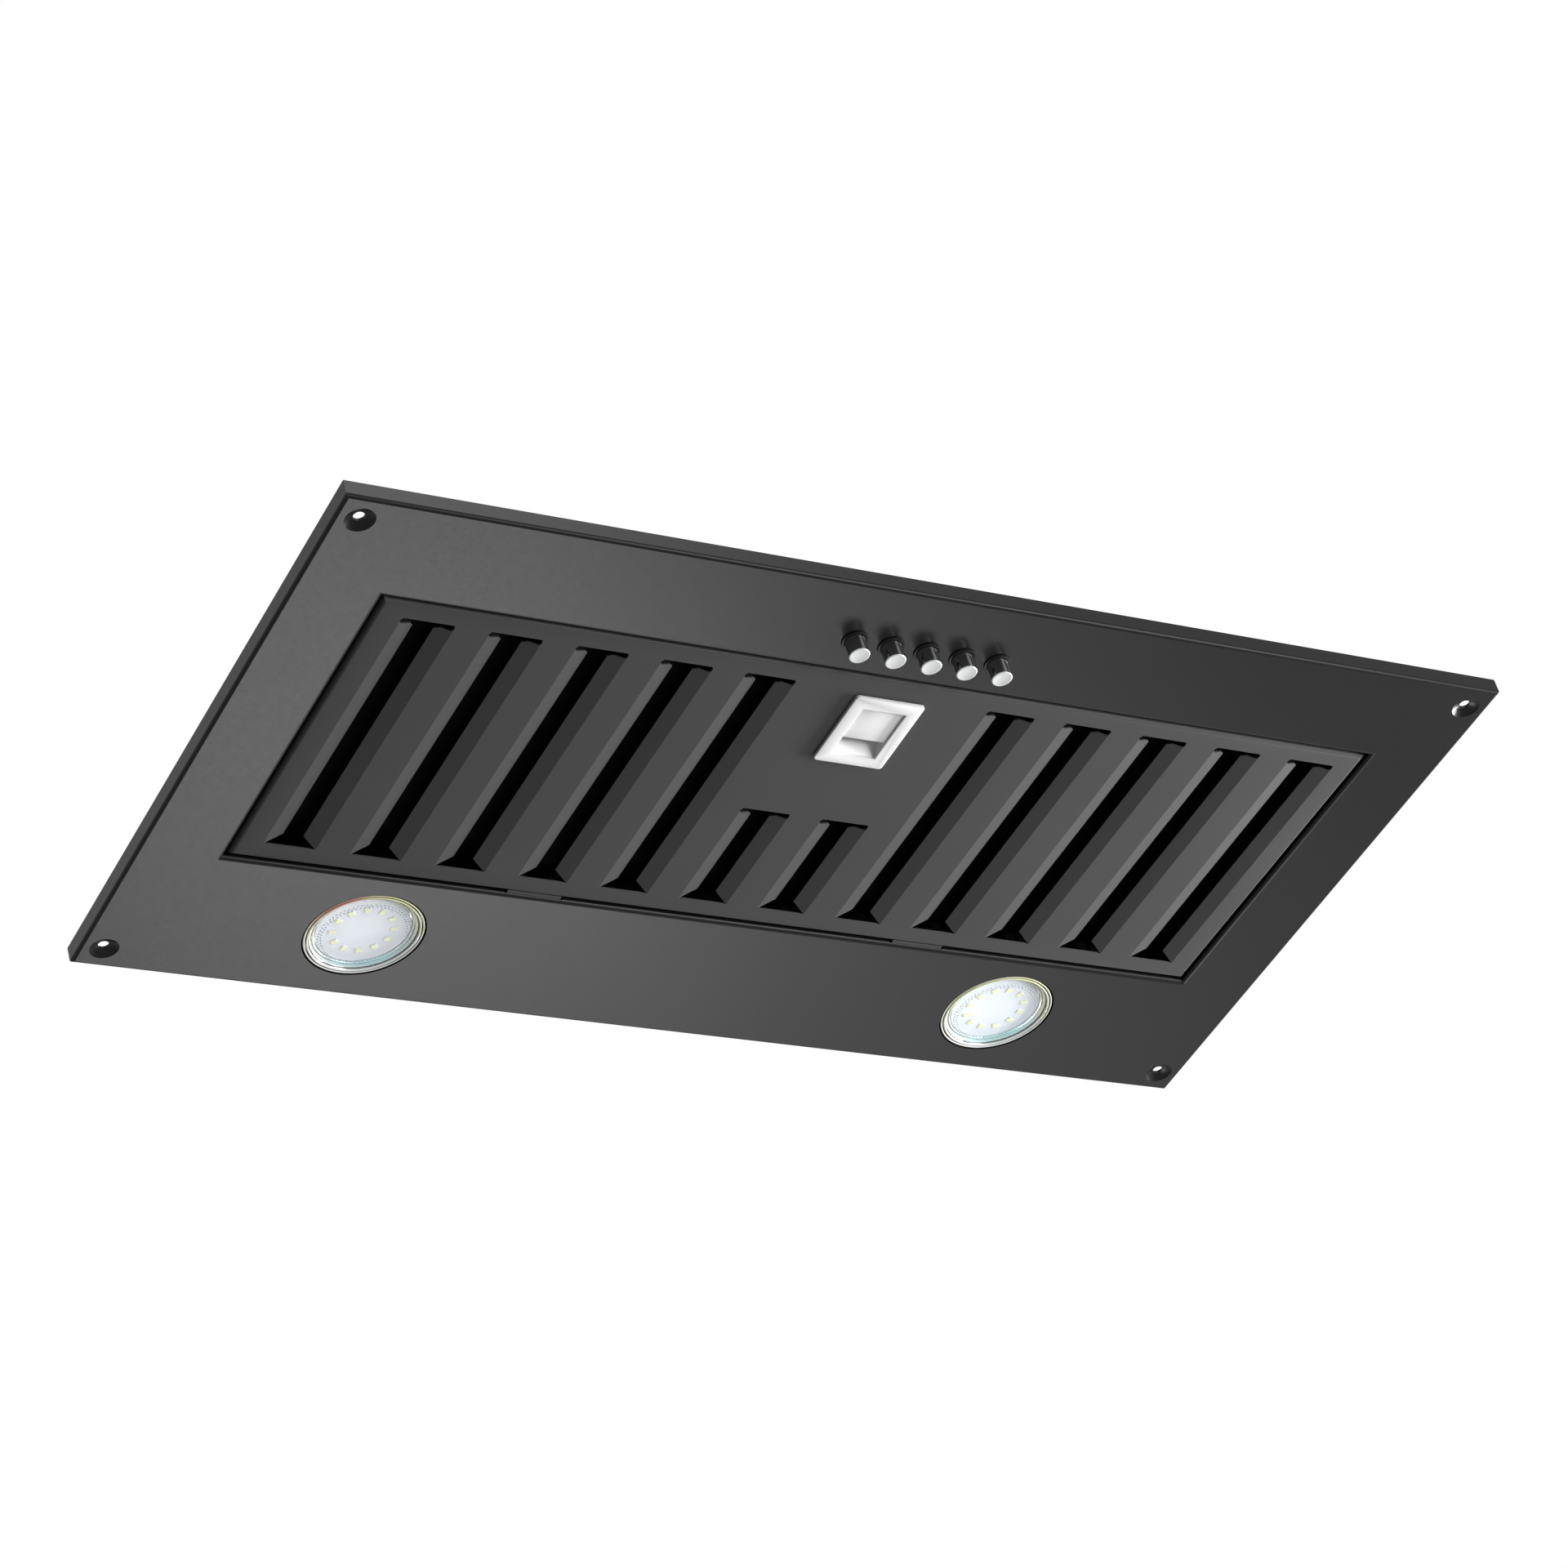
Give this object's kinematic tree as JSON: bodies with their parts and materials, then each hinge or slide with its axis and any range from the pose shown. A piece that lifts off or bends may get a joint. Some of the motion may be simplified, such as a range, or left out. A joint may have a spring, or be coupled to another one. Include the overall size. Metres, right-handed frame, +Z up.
{
  "type": "undermount range hood",
  "caption": "Slim undermount range hood: a flat black face panel with a slotted baffle grease filter, round lamps and push buttons, under a folded body with a fan and a round duct collar.",
  "frame": {"origin": "the middle of the panel's four mounting screw holes, at the plane where the screws seat", "axes": "+X to the user's right, +Y from the user to the wall, +Z up into the cabinet"},
  "size_m": [0.52, 0.272, 0.1588],
  "materials": {
    "panel_paint": "satin black powder coat",
    "filter_paint": "satin black powder coat",
    "filter_baffle_steel": "plain rolled sheet",
    "galvanised_sheet": "galvanised sheet with faint spangle",
    "zinc_steel": "zinc plated",
    "spring_steel": "bright drawn wire",
    "pale_plastic": "satin moulded plastic",
    "white_plastic": "satin moulded plastic",
    "chromed_button": "chromed plastic with a satin end",
    "black_plastic": "moulded plastic",
    "gloss_black_plastic": "gloss moulded plastic",
    "brass_contact": "tinned brass",
    "lamp_glass": "clear pressed glass",
    "lamp_board": "white solder mask with diodes",
    "ceramic": "glazed ceramic",
    "motor_winding": "varnished laminations and copper wire",
    "bearing_bronze": "sintered bronze",
    "rubber": "moulded rubber",
    "aluminium_can": "drawn can"
  },
  "bodies": {
    "hood": {"face_panel": "panel_paint", "panel_studs": "zinc_steel", "flange_nuts": "zinc_steel", "plenum_shell": "galvanised_sheet", "top_cover": "galvanised_sheet", "top_cover_screws": "zinc_steel", "duct_collar": "black_plastic", "collar_screws": "zinc_steel", "damper_rod": "zinc_steel", "switch_block": "black_plastic", "switch_bracket": "galvanised_sheet", "button_ferrules": "gloss_black_plastic", "switch_terminals": "brass_contact", "lamp_cover_left": "lamp_glass", "lamp_cover_right": "lamp_glass", "lamp_cup_left": "lamp_glass", "lamp_cup_right": "lamp_glass", "lamp_board_left": "lamp_board", "lamp_board_right": "lamp_board", "lamp_base_left": "white_plastic", "lamp_base_right": "white_plastic", "lamp_socket_left": "ceramic", "lamp_socket_right": "ceramic", "lamp_brackets": "galvanised_sheet", "casing_left": "black_plastic", "casing_right": "black_plastic", "casing_screws": "zinc_steel", "motor_stator": "motor_winding", "motor_bearings": "bearing_bronze", "motor_bracket": "zinc_steel", "motor_grommets": "rubber", "motor_screws": "zinc_steel", "terminal_box": "black_plastic", "terminal_box_lid": "black_plastic", "terminal_block": "white_plastic", "cable_gland": "black_plastic", "run_capacitor": "aluminium_can"},
    "filter": {"filter_front_sheet": "filter_paint", "filter_baffles": "filter_baffle_steel", "filter_frame": "filter_baffle_steel", "filter_hinge_tabs": "filter_baffle_steel", "filter_rivets": "zinc_steel", "latch_bezel": "pale_plastic", "latch_spring": "spring_steel"},
    "latch": {"latch_slider": "pale_plastic"},
    "fan": {"impeller": "black_plastic", "motor_rotor": "zinc_steel", "motor_shaft": "spring_steel"},
    "damper_front": {"damper_flap_front": "black_plastic"},
    "damper_back": {"damper_flap_back": "black_plastic"},
    "button_off_body": {"button_off": "chromed_button", "stem_off": "black_plastic"},
    "button_speed_low_body": {"button_speed_low": "chromed_button", "stem_speed_low": "black_plastic"},
    "button_speed_medium_body": {"button_speed_medium": "chromed_button", "stem_speed_medium": "black_plastic"},
    "button_speed_high_body": {"button_speed_high": "chromed_button", "stem_speed_high": "black_plastic"},
    "button_lamp_body": {"button_lamp": "chromed_button", "stem_lamp": "black_plastic"}
  },
  "joints": [
    {"name": "filter_swing", "type": "hinge", "parent": "hood", "child": "filter", "pos_m": [0, 0.0636, -0.001], "axis": [1, 0, 0], "range_deg": [0, 70]},
    {"name": "latch_slide", "type": "slide", "parent": "filter", "child": "latch", "axis": [0, 1, 0], "range_m": [-0.0025, 0.0065], "stiffness_N_per_m": 300, "deforming": ["latch_spring"]},
    {"name": "button_off_press", "type": "slide", "parent": "hood", "child": "button_off_body", "axis": [0, 0, 1], "range_m": [0, 0.004], "stiffness_N_per_m": 500, "springref_m": -0.002},
    {"name": "button_speed_low_press", "type": "slide", "parent": "hood", "child": "button_speed_low_body", "axis": [0, 0, 1], "range_m": [0, 0.004], "stiffness_N_per_m": 500, "springref_m": -0.002},
    {"name": "button_speed_medium_press", "type": "slide", "parent": "hood", "child": "button_speed_medium_body", "axis": [0, 0, 1], "range_m": [0, 0.004], "stiffness_N_per_m": 500, "springref_m": -0.002},
    {"name": "button_speed_high_press", "type": "slide", "parent": "hood", "child": "button_speed_high_body", "axis": [0, 0, 1], "range_m": [0, 0.004], "stiffness_N_per_m": 500, "springref_m": -0.002},
    {"name": "button_lamp_press", "type": "slide", "parent": "hood", "child": "button_lamp_body", "axis": [0, 0, 1], "range_m": [0, 0.004], "stiffness_N_per_m": 500, "springref_m": -0.002},
    {"name": "fan_spin", "type": "hinge", "parent": "hood", "child": "fan", "pos_m": [0, 0.024, 0.0708], "axis": [1, 0, 0], "continuous": true},
    {"name": "damper_front_swing", "type": "hinge", "parent": "hood", "child": "damper_front", "pos_m": [0, 0.06, 0.124], "axis": [-1, 0, 0], "range_deg": [0, 70]},
    {"name": "damper_back_swing", "type": "hinge", "parent": "hood", "child": "damper_back", "pos_m": [0, 0.06, 0.124], "axis": [1, 0, 0], "range_deg": [0, 70]}
  ]
}
